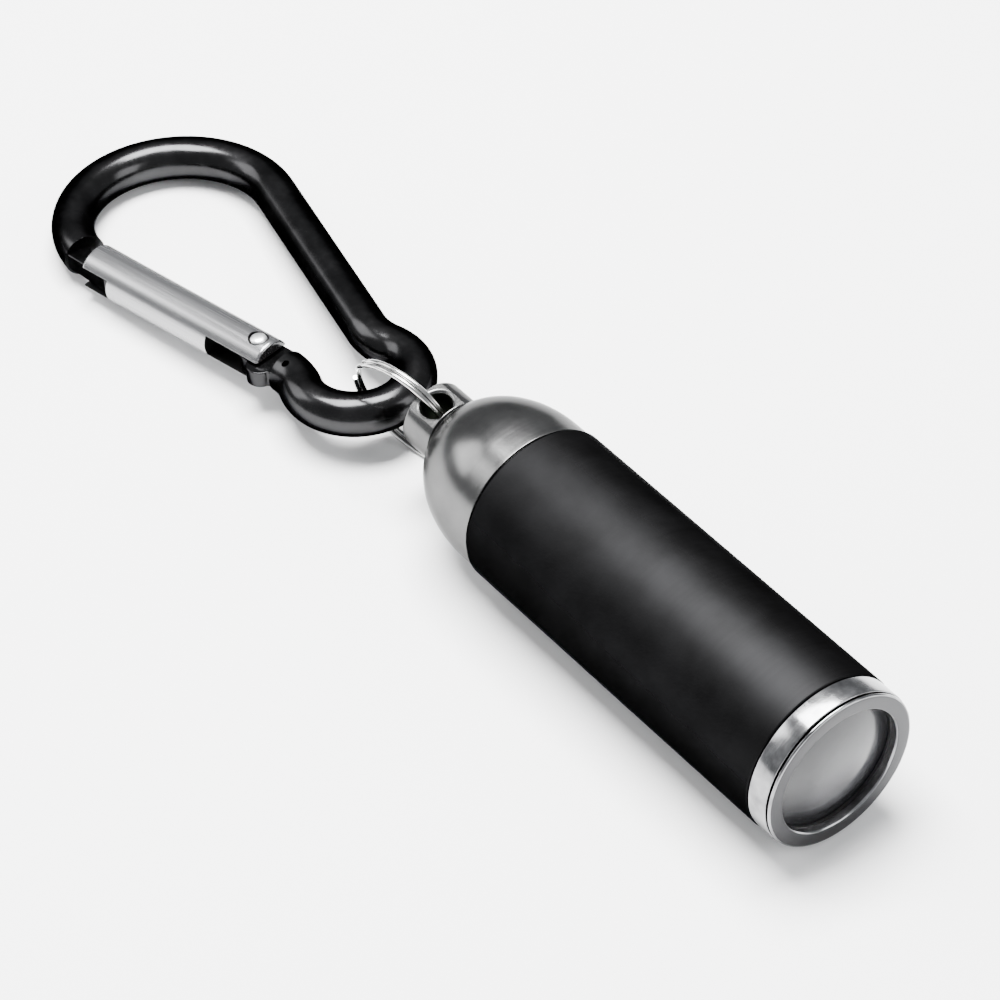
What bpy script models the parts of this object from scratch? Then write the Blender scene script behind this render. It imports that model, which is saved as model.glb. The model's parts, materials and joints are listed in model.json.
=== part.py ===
"""Keychain flashlight: a pull-out zoom torch on three button cells, with a split ring and a
mini carabiner at its tail. Units are metres. +X runs along the torch towards the lens, +Z is up,
and the origin lies under the middle of the whole object, on the surface it rests on."""
import math

import bmesh
import bpy
from mathutils import Vector

MM = 0.001
MERGE = 0.00001

# ---- driving dimensions, in millimetres ---------------------------------------------------
TORCH_STEPS = 32            # facets round the torch's turned pieces
SMALL_STEPS = 24            # facets round small turned pieces

SLEEVE_RADIUS = 7.5
SLEEVE_LENGTH = 36.0
SLEEVE_REAR_BORE = 6.9      # slides on the battery tube
SLEEVE_FRONT_BORE = 7.1     # passes the stop ring and takes the bezel
SLEEVE_STEP = 20.0          # where the two bores meet
HEAD_TRAVEL = 5.8           # until the sleeve's step meets the stop ring

BEZEL_RADIUS = 7.42
BEZEL_BAND = 2.15
BEZEL_GROOVE = 0.2
BEZEL_LIP = 0.25
LIP_RADIUS = 7.34
OPENING_RADIUS = 5.87
SPIGOT_LENGTH = 2.9

TUBE_RADIUS = 6.75
TUBE_BORE = 6.15
TUBE_FRONT = 28.0
STOP_RING_X = SLEEVE_STEP + HEAD_TRAVEL + 0.4
STOP_GROOVE_RADIUS = 6.4
FRONT_SEAL_X = 17.0
REAR_SEAL_X = 8.0
SEAL_GROOVE_RADIUS = 6.35
THREAD_RADIUS = 6.45        # rear end of the tube, inside the tail cap
THREAD_LENGTH = 4.2

CAP_RADIUS = 7.32
CAP_GAP = 0.25              # between the sleeve's rear edge and the cap
CAP_STRAIGHT = 2.03
DOME_LENGTH = 9.44          # half length of the dome's ellipse
NECK_START = 10.8
NECK_RADIUS = 3.16
LUG_END = 14.7
LUG_HOLE_X = 12.9
LUG_HOLE_RADIUS = 1.35
LUG_CHAMFER = 0.35           # round both mouths of the hole
LUG_FLAT = 2.65             # half thickness across the flats round the hole
LUG_ROLL = 16.0             # degrees that the hole leans from upright

HOLDER_RADIUS = 6.05
BOARD_RADIUS = 5.3
CELL_RADIUS = 5.8
CELL_HEIGHT = 5.4
CELL_GAP = 0.1
CELL_STACK_REAR = -0.6

RING_RADIUS = 5.7           # centre line of the split ring
RING_WIRE = 0.225
RING_PITCH = 0.47
RING_DROP = 1.54            # how far its centre hangs below the lug's hole
RING_SWING = 10.6           # degrees that it has swung round the hole

ROD_RADIUS = 2.0
BIG_RADIUS = 9.55           # centre line of the carabiner's wide end
SMALL_RADIUS = 5.05         # centre line of its narrow end
CENTRES = 28.97             # distance between those two ends' centres
TAPER = math.radians(12.43)  # angle of the spine and of the gate to the long axis
FILLET = 6.29               # bend between the spine and the narrow end
NOSE_ANGLE = math.radians(265.6)

PIVOT_X = 7.7 + SMALL_RADIUS  # from the tip of the narrow end back to the gate's pivot
GATE_RADIUS = 2.15
GATE_NOSE = 20.4            # pivot to the gate's free end
GATE_HEEL = 1.5             # pivot to its other end
SLOT_HALF = 1.0
SHOULDER = 3.3              # pivot to the frame's shoulder
TONGUE_HALF = 0.8
PIN_RADIUS = 0.52
PIN_HOLE = 0.62

# ---- where the torch and the carabiner lie, in millimetres and degrees --------------------
SLEEVE_REAR = Vector((13.612, -0.928, SLEEVE_RADIUS))
CARABINER_TIP = Vector((-20.34, -0.15, 4.25)) + Vector((SLEEVE_REAR.x, SLEEVE_REAR.y, 0.0))
CARABINER_PITCH = -2.94
CARABINER_YAW = -1.75

COLOURS = {
    "black_anodised": ((0.018, 0.018, 0.02), 0.38, 0.6),
    "bright_chrome": ((0.78, 0.78, 0.8), 0.18, 1.0),
    "nickel": ((0.5, 0.5, 0.5), 0.22, 1.0),
    "bright_steel": ((0.66, 0.66, 0.65), 0.15, 1.0),
    "satin_aluminium": ((0.66, 0.66, 0.68), 0.34, 1.0),
    "gloss_black": ((0.012, 0.012, 0.014), 0.16, 0.5),
    "clear_acrylic": ((0.8, 0.82, 0.84), 0.05, 0.0),
    "black_rubber": ((0.02, 0.02, 0.02), 0.7, 0.0),
    "cell_steel": ((0.6, 0.6, 0.58), 0.25, 1.0),
    "spring_steel": ((0.62, 0.6, 0.55), 0.3, 1.0),
    "white_plastic": ((0.75, 0.75, 0.72), 0.5, 0.0),
    "board_white": ((0.82, 0.84, 0.82), 0.45, 0.0),
    "led_phosphor": ((0.85, 0.75, 0.2), 0.5, 0.0),
    "clear_silicone": ((0.9, 0.9, 0.85), 0.08, 0.0),
    "brass": ((0.72, 0.55, 0.25), 0.3, 1.0),
}


def clear_scene():
    for item in list(bpy.data.objects):
        bpy.data.objects.remove(item, do_unlink=True)


def new_collection(name):
    collection = bpy.data.collections.new(name)
    bpy.context.scene.collection.children.link(collection)
    return collection


clear_scene()
PARTS = new_collection("keychain_flashlight")
CUTTERS = new_collection("cutters")


# ---- helpers -------------------------------------------------------------------------------
def make_material(slot):
    colour, roughness, metallic = COLOURS[slot]
    material = bpy.data.materials.new(slot)
    material.use_nodes = True
    shader = material.node_tree.nodes["Principled BSDF"]
    shader.inputs["Base Color"].default_value = (*colour, 1.0)
    shader.inputs["Roughness"].default_value = roughness
    shader.inputs["Metallic"].default_value = metallic
    material.diffuse_color = (*colour, 1.0)
    return material


def add_empty(name, parent=None, at=(0.0, 0.0, 0.0), turn=(0.0, 0.0, 0.0)):
    """An empty on a joint's axis. at is in millimetres, turn in degrees."""
    empty = bpy.data.objects.new(name, None)
    empty.empty_display_size = 4 * MM
    empty.location = Vector(at) * MM
    empty.rotation_euler = [math.radians(angle) for angle in turn]
    empty.parent = parent
    PARTS.objects.link(empty)
    return empty


def place(item, name, parent, slot=None, at=(0.0, 0.0, 0.0), turn=(0.0, 0.0, 0.0)):
    """Names an object and puts it under its parent, as a part if it has a slot, else a cutter."""
    item.name = name
    item.data.name = name
    for collection in list(item.users_collection):
        collection.objects.unlink(item)
    item.parent = parent
    item.location = Vector(at) * MM
    item.rotation_euler = [math.radians(angle) for angle in turn]
    if slot is None:
        CUTTERS.objects.link(item)
        item.hide_render = True
        item.display_type = "WIRE"
    else:
        PARTS.objects.link(item)
        item.data.materials.clear()
        item.data.materials.append(make_material(slot))
    return item


def smooth(item, angle=30.0):
    item.data.shade_smooth()
    item.data.set_sharp_from_angle(angle=math.radians(angle))


def turned(name, profile, parent, slot=None, steps=TORCH_STEPS, closed=True, at=(0, 0, 0),
           turn=(0.0, 90.0, 0.0)):
    """A turned piece. profile lists (radius, height) in millimetres, down the outer side from the
    top and back up the bore. An open profile starts and ends on the axis. The default turn lays
    the piece's axis along the torch."""
    mesh = bpy.data.meshes.new(name)
    points = [(radius * MM, 0.0, height * MM) for radius, height in profile]
    edges = [(i, i + 1) for i in range(len(points) - 1)]
    if closed:
        edges.append((len(points) - 1, 0))
    mesh.from_pydata(points, edges, [])
    item = bpy.data.objects.new(name, mesh)
    screw = item.modifiers.new("turn", "SCREW")
    screw.axis = "Z"
    screw.angle = math.tau
    screw.steps = steps
    screw.render_steps = steps
    screw.use_merge_vertices = True
    screw.merge_threshold = MERGE
    screw.use_smooth_shade = True
    return place(item, name, parent, slot, at, turn)


def tube_ring(name, inner, outer, low, high, parent, slot, steps=TORCH_STEPS):
    """A plain ring of square section."""
    profile = [(inner, high), (outer, high), (outer, low), (inner, low)]
    return turned(name, profile, parent, slot, steps)


def arc(centre, radius, start, end, count):
    """Points round an arc, in the plane of the two coordinates given; angles in radians."""
    points = []
    for i in range(count + 1):
        angle = start + (end - start) * i / count
        points.append((centre[0] + radius * math.cos(angle), centre[1] + radius * math.sin(angle)))
    return points


def wire(name, points, radius, parent, slot, at=(0, 0, 0), turn=(0, 0, 0), sides=2):
    """A round wire or rod through points in millimetres. sides is the bevel's resolution."""
    curve = bpy.data.curves.new(name, "CURVE")
    curve.dimensions = "3D"
    curve.bevel_depth = radius * MM
    curve.bevel_resolution = sides
    curve.use_fill_caps = True
    spline = curve.splines.new("POLY")
    spline.points.add(len(points) - 1)
    for point, place_at in zip(spline.points, points):
        point.co = (place_at[0] * MM, place_at[1] * MM, place_at[2] * MM, 1.0)
    item = bpy.data.objects.new(name, curve)
    return place(item, name, parent, slot, at, turn)


def plate(name, outline, half_thickness, parent):
    """A flat plate cut to an outline of (x, y) points in millimetres, as a curve."""
    curve = bpy.data.curves.new(name, "CURVE")
    curve.dimensions = "2D"
    curve.fill_mode = "BOTH"
    curve.extrude = half_thickness * MM
    spline = curve.splines.new("POLY")
    spline.points.add(len(outline) - 1)
    for point, (x, y) in zip(spline.points, outline):
        point.co = (x * MM, y * MM, 0.0, 1.0)
    spline.use_cyclic_u = True
    item = bpy.data.objects.new(name, curve)
    return place(item, name, parent)


def as_mesh(item, name, parent, slot=None):
    """Turns a curve object into a welded mesh object in the same place."""
    bpy.context.view_layer.update()
    evaluated = item.evaluated_get(bpy.context.evaluated_depsgraph_get())
    mesh = bpy.data.meshes.new_from_object(evaluated)
    work = bmesh.new()
    work.from_mesh(mesh)
    bmesh.ops.remove_doubles(work, verts=work.verts, dist=MERGE)
    bmesh.ops.recalc_face_normals(work, faces=work.faces)
    work.to_mesh(mesh)
    work.free()
    at = item.location / MM
    turn = [math.degrees(angle) for angle in item.rotation_euler]
    bpy.data.objects.remove(item, do_unlink=True)
    solid = bpy.data.objects.new(name, mesh)
    return place(solid, name, parent, slot, at, turn)


def box(name, low, high, parent, slot=None, bevel=0.0):
    """A box between two corners in millimetres."""
    work = bmesh.new()
    bmesh.ops.create_cube(work, size=1.0)
    for vert in work.verts:
        for i in range(3):
            middle = (low[i] + high[i]) / 2
            vert.co[i] = (middle + vert.co[i] * (high[i] - low[i])) * MM
    mesh = bpy.data.meshes.new(name)
    work.to_mesh(mesh)
    work.free()
    item = bpy.data.objects.new(name, mesh)
    if bevel:
        edge = item.modifiers.new("edge", "BEVEL")
        edge.width = bevel * MM
        edge.segments = 2
    return place(item, name, parent, slot)


def rod(name, radius, low, high, parent, slot=None, steps=SMALL_STEPS, at=(0, 0, 0), turn=(0, 0, 0)):
    """A plain cylinder from low to high along its own Z, in millimetres."""
    profile = [(0.0, high), (radius, high), (radius, low), (0.0, low)]
    return turned(name, profile, parent, slot, steps, closed=False, at=at, turn=turn)


def join_or_cut(item, other, operation):
    step = item.modifiers.new(operation.lower() + "_" + other.name, "BOOLEAN")
    step.operation = operation
    step.object = other
    step.solver = "EXACT"


# ---- the head: sleeve, bezel, lens ---------------------------------------------------------
def build_head(head):
    edge = 0.15
    sleeve = [
        (SLEEVE_FRONT_BORE, SLEEVE_LENGTH), (SLEEVE_RADIUS - edge, SLEEVE_LENGTH),
        (SLEEVE_RADIUS, SLEEVE_LENGTH - edge), (SLEEVE_RADIUS, edge), (SLEEVE_RADIUS - edge, 0.0),
        (SLEEVE_REAR_BORE, 0.0), (SLEEVE_REAR_BORE, SLEEVE_STEP), (SLEEVE_FRONT_BORE, SLEEVE_STEP),
    ]
    turned("outer_sleeve", sleeve, head, "black_anodised")

    band_rear = SLEEVE_LENGTH + 0.1
    band_front = band_rear + BEZEL_BAND - 0.1
    lip_rear = band_front + BEZEL_GROOVE
    face = lip_rear + BEZEL_LIP
    groove_radius = 6.95
    spigot_radius = 7.0
    seat_radius = 6.4
    seat_front = face - 0.8
    round_off = 0.22
    bezel = [(OPENING_RADIUS + 0.15, face), (LIP_RADIUS - round_off, face)]
    bezel += arc((LIP_RADIUS - round_off, face - round_off), round_off, math.pi / 2, 0.0, 4)[1:]
    bezel += [
        (LIP_RADIUS, lip_rear), (groove_radius, lip_rear), (groove_radius, band_front),
        (BEZEL_RADIUS, band_front), (BEZEL_RADIUS, band_rear), (spigot_radius, band_rear),
        (spigot_radius, SLEEVE_LENGTH - SPIGOT_LENGTH), (seat_radius, SLEEVE_LENGTH - SPIGOT_LENGTH),
        (seat_radius, seat_front), (OPENING_RADIUS, seat_front), (OPENING_RADIUS, face - 0.15),
    ]
    turned("bezel_ring", bezel, head, "bright_chrome")

    lens_back = 35.6
    flange_front = seat_front - 0.4
    dome_edge = 5.6
    dome_rise = 1.05
    dome_radius = (dome_edge ** 2 + dome_rise ** 2) / (2 * dome_rise)
    dome_centre = flange_front + dome_rise - dome_radius
    lens = []
    for i in range(9):
        radius = dome_edge * i / 8
        lens.append((radius, dome_centre + math.sqrt(dome_radius ** 2 - radius ** 2)))
    lens += [(6.3, flange_front), (6.3, lens_back), (0.0, lens_back)]
    turned("lens", lens, head, "clear_acrylic", closed=False)
    tube_ring("lens_gasket", 5.97, 6.32, flange_front + 0.07, seat_front - 0.07, head, "black_rubber")
    tube_ring("lens_retainer", 5.3, 6.33, lens_back - 1.4, lens_back - 0.1, head, "black_anodised")


# ---- the barrel: battery tube, cells, contacts, lamp ---------------------------------------
def spring_points(radius_start, radius_end, start, end, turns, per_turn=10):
    """A coil along X whose radius runs from one size to another, with flat end turns."""
    count = int(turns * per_turn)
    points = []
    for i in range(count + 1):
        share = i / count
        angle = share * turns * math.tau
        radius = radius_start + (radius_end - radius_start) * share
        points.append((start + (end - start) * share, radius * math.cos(angle),
                       radius * math.sin(angle)))
    return points


def build_battery_tube(barrel):
    shoulder = -0.1
    thread_end = shoulder - THREAD_LENGTH
    edge = 0.2
    half_groove = 0.35
    profile = [(TUBE_BORE, TUBE_FRONT), (TUBE_RADIUS - edge, TUBE_FRONT), (TUBE_RADIUS, TUBE_FRONT - edge)]
    grooves = ((STOP_RING_X, STOP_GROOVE_RADIUS), (FRONT_SEAL_X, SEAL_GROOVE_RADIUS),
               (REAR_SEAL_X, SEAL_GROOVE_RADIUS))
    for middle, floor in grooves:
        profile += [(TUBE_RADIUS, middle + half_groove), (floor, middle + half_groove),
                    (floor, middle - half_groove), (TUBE_RADIUS, middle - half_groove)]
    profile += [(TUBE_RADIUS, shoulder), (THREAD_RADIUS, shoulder), (THREAD_RADIUS, thread_end + 0.15),
                (THREAD_RADIUS - 0.1, thread_end), (TUBE_BORE, thread_end)]
    turned("battery_tube", profile, barrel, "nickel")


def o_ring(name, middle, major, minor, parent):
    bpy.ops.mesh.primitive_torus_add(major_radius=major * MM, minor_radius=minor * MM,
                                     major_segments=TORCH_STEPS, minor_segments=6)
    ring = place(bpy.context.object, name, parent, "black_rubber", (middle, 0, 0), (0, 90, 0))
    smooth(ring)


def build_cells(barrel):
    cap_radius = 4.8
    cap_step = 0.25
    edge = 0.2
    for number in range(3):
        rear = CELL_STACK_REAR + (2 - number) * (CELL_HEIGHT + CELL_GAP)
        front = rear + CELL_HEIGHT
        profile = [(0.0, front), (CELL_RADIUS - edge, front), (CELL_RADIUS, front - edge),
                   (CELL_RADIUS, rear + cap_step), (cap_radius, rear + cap_step),
                   (cap_radius, rear), (0.0, rear)]
        turned(f"battery_cell_{number + 1}", profile, barrel, "cell_steel", closed=False)


def build_lamp(barrel):
    holder_rear = 19.0
    holder_front = 26.0
    pocket_floor = holder_front - 1.0
    pocket_radius = 5.45
    stem_bore = 2.25
    holder = [(pocket_radius, holder_front), (HOLDER_RADIUS, holder_front), (HOLDER_RADIUS, holder_rear),
              (stem_bore, holder_rear), (stem_bore, pocket_floor), (pocket_radius, pocket_floor)]
    turned("led_holder", holder, barrel, "brass")

    contact_bore = 1.0
    stem_radius = stem_bore - 0.15
    flange_front = holder_rear - 0.2
    flange_rear = flange_front - 1.2
    insulator = [(contact_bore, pocket_floor - 0.2), (stem_radius, pocket_floor - 0.2),
                 (stem_radius, flange_front), (5.5, flange_front), (5.5, flange_rear),
                 (contact_bore, flange_rear)]
    turned("contact_insulator", insulator, barrel, "white_plastic", SMALL_STEPS)
    contact = spring_points(3.0, 1.0, 15.95, flange_rear - 0.3, 2.5)
    contact += [(flange_rear - 0.2, 0.0, 0.0), (pocket_floor - 0.1, 0.0, 0.0)]
    wire("positive_contact_spring", contact, 0.12, barrel, "spring_steel")

    board_front = pocket_floor + 0.85
    rod("led_board", BOARD_RADIUS, pocket_floor + 0.05, board_front, barrel, "board_white", TORCH_STEPS,
        turn=(0, 90, 0))
    package_rear = board_front + 0.05
    package_front = package_rear + 0.7
    half = 1.7
    box("led_package", (package_rear, -half, -half), (package_front, half, half), barrel, "led_phosphor",
        bevel=0.1)
    dome_radius = 1.4
    dome_base = package_front + 0.05
    dome = [(0.0, dome_base + dome_radius)]
    dome += [(radius, height + dome_base) for radius, height in
             arc((0, 0), dome_radius, math.pi / 2, 0.0, 6)[1:]]
    dome.append((0.0, dome_base))
    turned("led_dome", dome, barrel, "clear_silicone", SMALL_STEPS, closed=False)


def build_barrel(barrel):
    build_battery_tube(barrel)
    tube_ring("battery_liner", 5.88, 6.08, -0.8, 16.2, barrel, "white_plastic")
    build_cells(barrel)
    build_lamp(barrel)
    gap_angle = math.radians(14)
    snap = [(STOP_RING_X, y, z) for y, z in arc((0, 0), 6.72, gap_angle, math.tau - gap_angle, 32)]
    wire("stop_ring", snap, 0.24, barrel, "spring_steel")
    o_ring("front_o_ring", FRONT_SEAL_X, 6.62, 0.24, barrel)
    o_ring("rear_o_ring", REAR_SEAL_X, 6.62, 0.24, barrel)


# ---- the tail cap --------------------------------------------------------------------------
def dome_radius_at(depth):
    """Radius of the dome at a distance behind the sleeve's rear edge."""
    share = (depth - CAP_GAP - CAP_STRAIGHT) / DOME_LENGTH
    return CAP_RADIUS * math.sqrt(1 - share ** 2)


def build_tail(tail):
    dome_start = CAP_GAP + CAP_STRAIGHT
    neck_groove = 0.2
    profile = [(6.98, -CAP_GAP), (CAP_RADIUS, -CAP_GAP), (CAP_RADIUS, -dome_start)]
    steps = 11
    for i in range(1, steps):
        depth = dome_start + (NECK_START - dome_start) * math.sin(math.pi / 2 * i / steps)
        profile.append((dome_radius_at(depth), -depth))
    profile += [
        (NECK_RADIUS + neck_groove, -NECK_START), (NECK_RADIUS - neck_groove, -NECK_START),
        (NECK_RADIUS - neck_groove, -NECK_START - 0.25), (NECK_RADIUS, -NECK_START - 0.25),
    ]
    end_round = 0.45
    profile += [(radius, height) for radius, height in
                arc((NECK_RADIUS - end_round, -LUG_END + end_round), end_round, 0.0, -math.pi / 2, 4)]
    socket = THREAD_RADIUS + 0.17
    profile += [(0.0, -LUG_END)]
    inside = [(0.0, -5.9), (5.6, -5.9), (5.6, -4.45), (socket, -4.45), (socket, -0.65), (6.98, -0.65)]
    cap = turned("tail_cap", profile + inside, tail, "nickel")

    lug = add_empty("lug_hole_guide", tail, (-LUG_HOLE_X, 0, 0), (LUG_ROLL, 0, 0))
    hole_half = [(0.0, 5.0), (LUG_HOLE_RADIUS + LUG_CHAMFER, 5.0), (LUG_HOLE_RADIUS + LUG_CHAMFER, LUG_FLAT),
                 (LUG_HOLE_RADIUS, LUG_FLAT - LUG_CHAMFER)]
    hole_profile = hole_half + [(radius, -height) for radius, height in reversed(hole_half)]
    hole = turned("lug_hole_cutter", hole_profile, lug, None, SMALL_STEPS, closed=False, turn=(0, 0, 0))
    flats = []
    for name, side in (("lug_flat_upper", 1), ("lug_flat_lower", -1)):
        near, far = sorted((side * LUG_FLAT, side * 5.0))
        flats.append(box(name, (-4.0, -5.0, near), (1.75, 5.0, far), lug))
    for cutter in [*flats, hole]:
        join_or_cut(cap, cutter, "DIFFERENCE")

    o_ring("tail_o_ring", -0.35, 6.73, 0.19, tail)
    wire("tail_spring", spring_points(3.9, 2.6, -5.6, -0.95, 4.0), 0.25, tail, "spring_steel")


# ---- the split ring ------------------------------------------------------------------------
def build_split_ring(swing):
    """Two turns of wire side by side, with the crossing between the two free ends."""
    reach = LUG_HOLE_RADIUS - RING_WIRE - 0.075
    centre_x = reach - RING_RADIUS
    cross_half = math.radians(15)
    cross_at = math.radians(150)
    points = []
    count = 66
    for i in range(count + 1):
        travel = cross_half + (2 * math.tau - 2 * cross_half) * i / count
        share = (travel - math.tau + cross_half) / (2 * cross_half)
        share = min(max(share, 0.0), 1.0)
        side = (3 * share ** 2 - 2 * share ** 3 - 0.5) * RING_PITCH
        angle = cross_at + travel
        points.append((centre_x + RING_RADIUS * math.cos(angle), side,
                       RING_RADIUS * math.sin(angle) - RING_DROP))
    wire("split_ring", points, RING_WIRE, swing, "bright_steel")


# ---- the carabiner -------------------------------------------------------------------------
def carabiner_path():
    """Centre line of the bent rod, nose first, as (x, y) from the tip of the narrow end."""
    small = Vector((-SMALL_RADIUS, 0.0))
    big = Vector((-SMALL_RADIUS - CENTRES, 0.0))
    normal = Vector((math.sin(TAPER), math.cos(TAPER)))
    along = Vector((math.cos(TAPER), -math.sin(TAPER)))
    tangent = big + normal * BIG_RADIUS
    offset = tangent + normal * FILLET - small
    half = offset.dot(along)
    run = -half - math.sqrt(half ** 2 - offset.length_squared + (FILLET + SMALL_RADIUS) ** 2)
    bend = tangent + normal * FILLET + along * run
    to_small = small - bend
    touch = math.atan2(to_small.y, to_small.x)
    leave = math.atan2(-normal.y, -normal.x)
    upper = arc(bend, FILLET, leave, touch, 6)
    tip_start = touch + math.pi
    path = arc(big, BIG_RADIUS, NOSE_ANGLE, math.pi / 2 - TAPER, 24)
    path += upper
    path += arc(small, SMALL_RADIUS, tip_start, -tip_start, 18)[1:-1]
    # On the gate's side the same bend stops at the shoulder.
    bend_start = Vector((upper[0][0], -upper[0][1])) - Vector(gate_pivot())
    from_pivot = bend_start.dot(Vector((math.cos(TAPER), math.sin(TAPER))))
    lower = arc(bend, FILLET, leave + math.asin((SHOULDER - from_pivot) / FILLET), touch, 5)
    path += [(x, -y) for x, y in reversed(lower)]
    return path


def gate_pivot():
    """The gate's pivot, on the gate's centre line."""
    big_x = -SMALL_RADIUS - CENTRES
    x = -PIVOT_X
    y = -BIG_RADIUS / math.cos(TAPER) + (x - big_x) * math.tan(TAPER)
    return (x, y)


def build_carabiner_frame(swing, hinge):
    path = [(x, y, 0.0) for x, y in carabiner_path()]
    bent = wire("carabiner_rod", path, ROD_RADIUS, swing, None, sides=4)
    frame = as_mesh(bent, "carabiner_frame", swing, "gloss_black")

    heel = [(5.4, -1.3), (5.4, 1.2), (3.0, 1.75), (0.6, 1.75), (-1.5, 0.95), (-1.5, -0.95), (-0.4, -1.9)]
    heel += arc((1.5, -1.45), 1.3, math.radians(200), math.radians(340), 7)
    heel_tongue = as_mesh(plate("heel_tongue_outline", heel, TONGUE_HALF, hinge), "heel_tongue", hinge)
    nose = [(-23.6, -1.2), (-21.0, -1.3), (-17.7, -1.7), (-17.5, -1.5), (-17.5, 0.25), (-17.7, 0.45),
            (-21.0, 0.45), (-23.6, 0.9)]
    nose_tongue = as_mesh(plate("nose_tongue_outline", nose, TONGUE_HALF, hinge), "nose_tongue", hinge)
    join_or_cut(frame, heel_tongue, "UNION")
    join_or_cut(frame, nose_tongue, "UNION")
    join_or_cut(frame, rod("frame_pin_hole", PIN_HOLE, -3.0, 3.0, hinge, steps=16), "DIFFERENCE")
    jig_hole = rod("frame_jig_hole", 0.35, 0.6, 3.0, hinge, steps=12, at=(4.1, -0.9, 0))
    join_or_cut(frame, jig_hole, "DIFFERENCE")
    smooth(frame)


def build_gate(hinge):
    edge = 0.2
    profile = [(0.0, GATE_HEEL), (GATE_RADIUS - edge, GATE_HEEL), (GATE_RADIUS, GATE_HEEL - edge),
               (GATE_RADIUS, edge - GATE_NOSE), (GATE_RADIUS - edge, -GATE_NOSE), (0.0, -GATE_NOSE)]
    gate = turned("gate", profile, hinge, "satin_aluminium", SMALL_STEPS, closed=False)
    bore_end = -9.6
    heel_slot_end = -4.7
    cutters = [
        box("gate_nose_slot", (-GATE_NOSE - 1, -3.0, -SLOT_HALF), (-17.2, 0.65, SLOT_HALF), hinge),
        box("gate_heel_slot", (heel_slot_end, -3.0, -SLOT_HALF), (GATE_HEEL + 1, 3.0, SLOT_HALF), hinge),
        rod("gate_spring_bore", 0.85, bore_end, heel_slot_end + 1, hinge, steps=16, turn=(0, 90, 0)),
        rod("gate_pin_hole", PIN_HOLE, -3.0, 3.0, hinge, steps=16),
        rod("gate_upper_counterbore", 0.9, 1.8, 3.0, hinge, steps=16),
        rod("gate_lower_counterbore", 0.9, -3.0, -1.8, hinge, steps=16),
    ]
    for cutter in cutters:
        join_or_cut(gate, cutter, "DIFFERENCE")

    head = 0.78
    half_pin = 2.25
    pin = [(0.0, half_pin), (head * 0.6, half_pin - 0.05), (head, half_pin - 0.2), (head, 1.86),
           (PIN_RADIUS, 1.86), (PIN_RADIUS, -1.86), (head, -1.86), (head, 0.2 - half_pin),
           (head * 0.6, 0.05 - half_pin), (0.0, -half_pin)]
    turned("gate_pivot_pin", pin, hinge, "satin_aluminium", 16, closed=False, turn=(0, 0, 0))


def build_plunger(hinge, push):
    tip = -1.7
    plunger = [(0.0, tip), (0.4, tip), (0.72, tip - 0.3), (0.72, -6.0), (0.0, -6.0)]
    turned("gate_plunger", plunger, push, "spring_steel", 16, closed=False)
    coil = spring_points(0.56, 0.56, -6.2, -9.35, 5.0)
    wire("gate_spring", coil, 0.11, hinge, "spring_steel")


def build():
    torch = add_empty("torch_axis", None, SLEEVE_REAR)
    head = add_empty("head_slide_axis", torch)
    tail = add_empty("tail_cap_axis", torch)
    build_head(head)
    build_barrel(torch)
    build_tail(tail)

    lug = add_empty("lug_hole_axis", tail, (-LUG_HOLE_X, 0, 0), (LUG_ROLL, 0, 0))
    swing = add_empty("ring_swing_axis", lug, turn=(0, 0, RING_SWING))
    build_split_ring(swing)

    tip = add_empty("carabiner_swing_axis", None, CARABINER_TIP, (0, CARABINER_PITCH, CARABINER_YAW))
    hinge = add_empty("gate_hinge_axis", tip, (*gate_pivot(), 0), (0, 0, math.degrees(TAPER)))
    push = add_empty("gate_plunger_axis", hinge)
    build_carabiner_frame(tip, hinge)
    build_gate(hinge)
    build_plunger(hinge, push)


build()
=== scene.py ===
"""Looks of the keychain flashlight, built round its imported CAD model. Lengths in the profiles are in
millimetres from the sleeve's rear edge, on the torch's axis; each piece is then placed in metres."""
import json
import math

import bmesh
import bpy
from mathutils import Matrix, Vector


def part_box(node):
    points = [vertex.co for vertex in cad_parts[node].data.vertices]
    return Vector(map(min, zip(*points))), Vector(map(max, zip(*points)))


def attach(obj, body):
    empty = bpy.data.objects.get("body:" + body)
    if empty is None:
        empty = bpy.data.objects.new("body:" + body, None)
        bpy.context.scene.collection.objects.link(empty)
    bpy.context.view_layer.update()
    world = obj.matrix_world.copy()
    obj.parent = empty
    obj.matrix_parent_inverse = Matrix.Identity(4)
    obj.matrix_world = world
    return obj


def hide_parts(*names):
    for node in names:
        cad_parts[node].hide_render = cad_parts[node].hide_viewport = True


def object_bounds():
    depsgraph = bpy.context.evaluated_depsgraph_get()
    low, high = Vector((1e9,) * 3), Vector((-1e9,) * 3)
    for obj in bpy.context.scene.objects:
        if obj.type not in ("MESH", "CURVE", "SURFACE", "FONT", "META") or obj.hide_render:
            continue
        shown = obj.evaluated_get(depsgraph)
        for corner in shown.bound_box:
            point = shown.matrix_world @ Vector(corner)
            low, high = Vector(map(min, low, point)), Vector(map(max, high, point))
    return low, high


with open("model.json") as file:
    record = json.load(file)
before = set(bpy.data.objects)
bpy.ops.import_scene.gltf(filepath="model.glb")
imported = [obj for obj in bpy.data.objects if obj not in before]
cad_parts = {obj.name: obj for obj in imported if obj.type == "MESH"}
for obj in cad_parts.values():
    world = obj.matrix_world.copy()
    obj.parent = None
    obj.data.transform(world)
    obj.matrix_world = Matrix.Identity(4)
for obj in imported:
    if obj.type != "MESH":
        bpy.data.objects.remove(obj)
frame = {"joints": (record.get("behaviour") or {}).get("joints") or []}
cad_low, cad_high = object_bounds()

MM = 0.001
FINE = 160                    # facets round the torch
JOINTS = {joint["name"]: joint for joint in frame["joints"]}

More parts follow.
